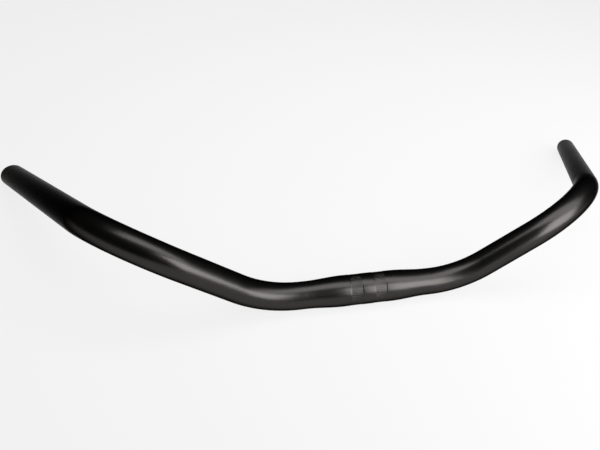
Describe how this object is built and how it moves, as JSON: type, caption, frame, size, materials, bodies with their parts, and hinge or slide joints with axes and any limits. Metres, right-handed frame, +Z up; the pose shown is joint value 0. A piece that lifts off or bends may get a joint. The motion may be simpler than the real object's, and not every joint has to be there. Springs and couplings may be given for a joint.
{
  "type": "bicycle handlebar",
  "caption": "Swept-back bicycle handlebar: a bent tube with a fatter knurled middle for the stem clamp and straight ends for the grips.",
  "frame": {"origin": "middle of the stem clamp, on the tube's centre line", "axes": "+X along the clamp, +Y to the rear, towards the rider, +Z up; the bar lies as it rests on a table, on the underside of the clamp and both grip ends"},
  "size_m": [0.687, 0.2503, 0.0937],
  "materials": {
    "anodised_aluminium": "black anodised, satin"
  },
  "bodies": {
    "root": {"handlebar": "anodised_aluminium"}
  },
  "joints": []
}
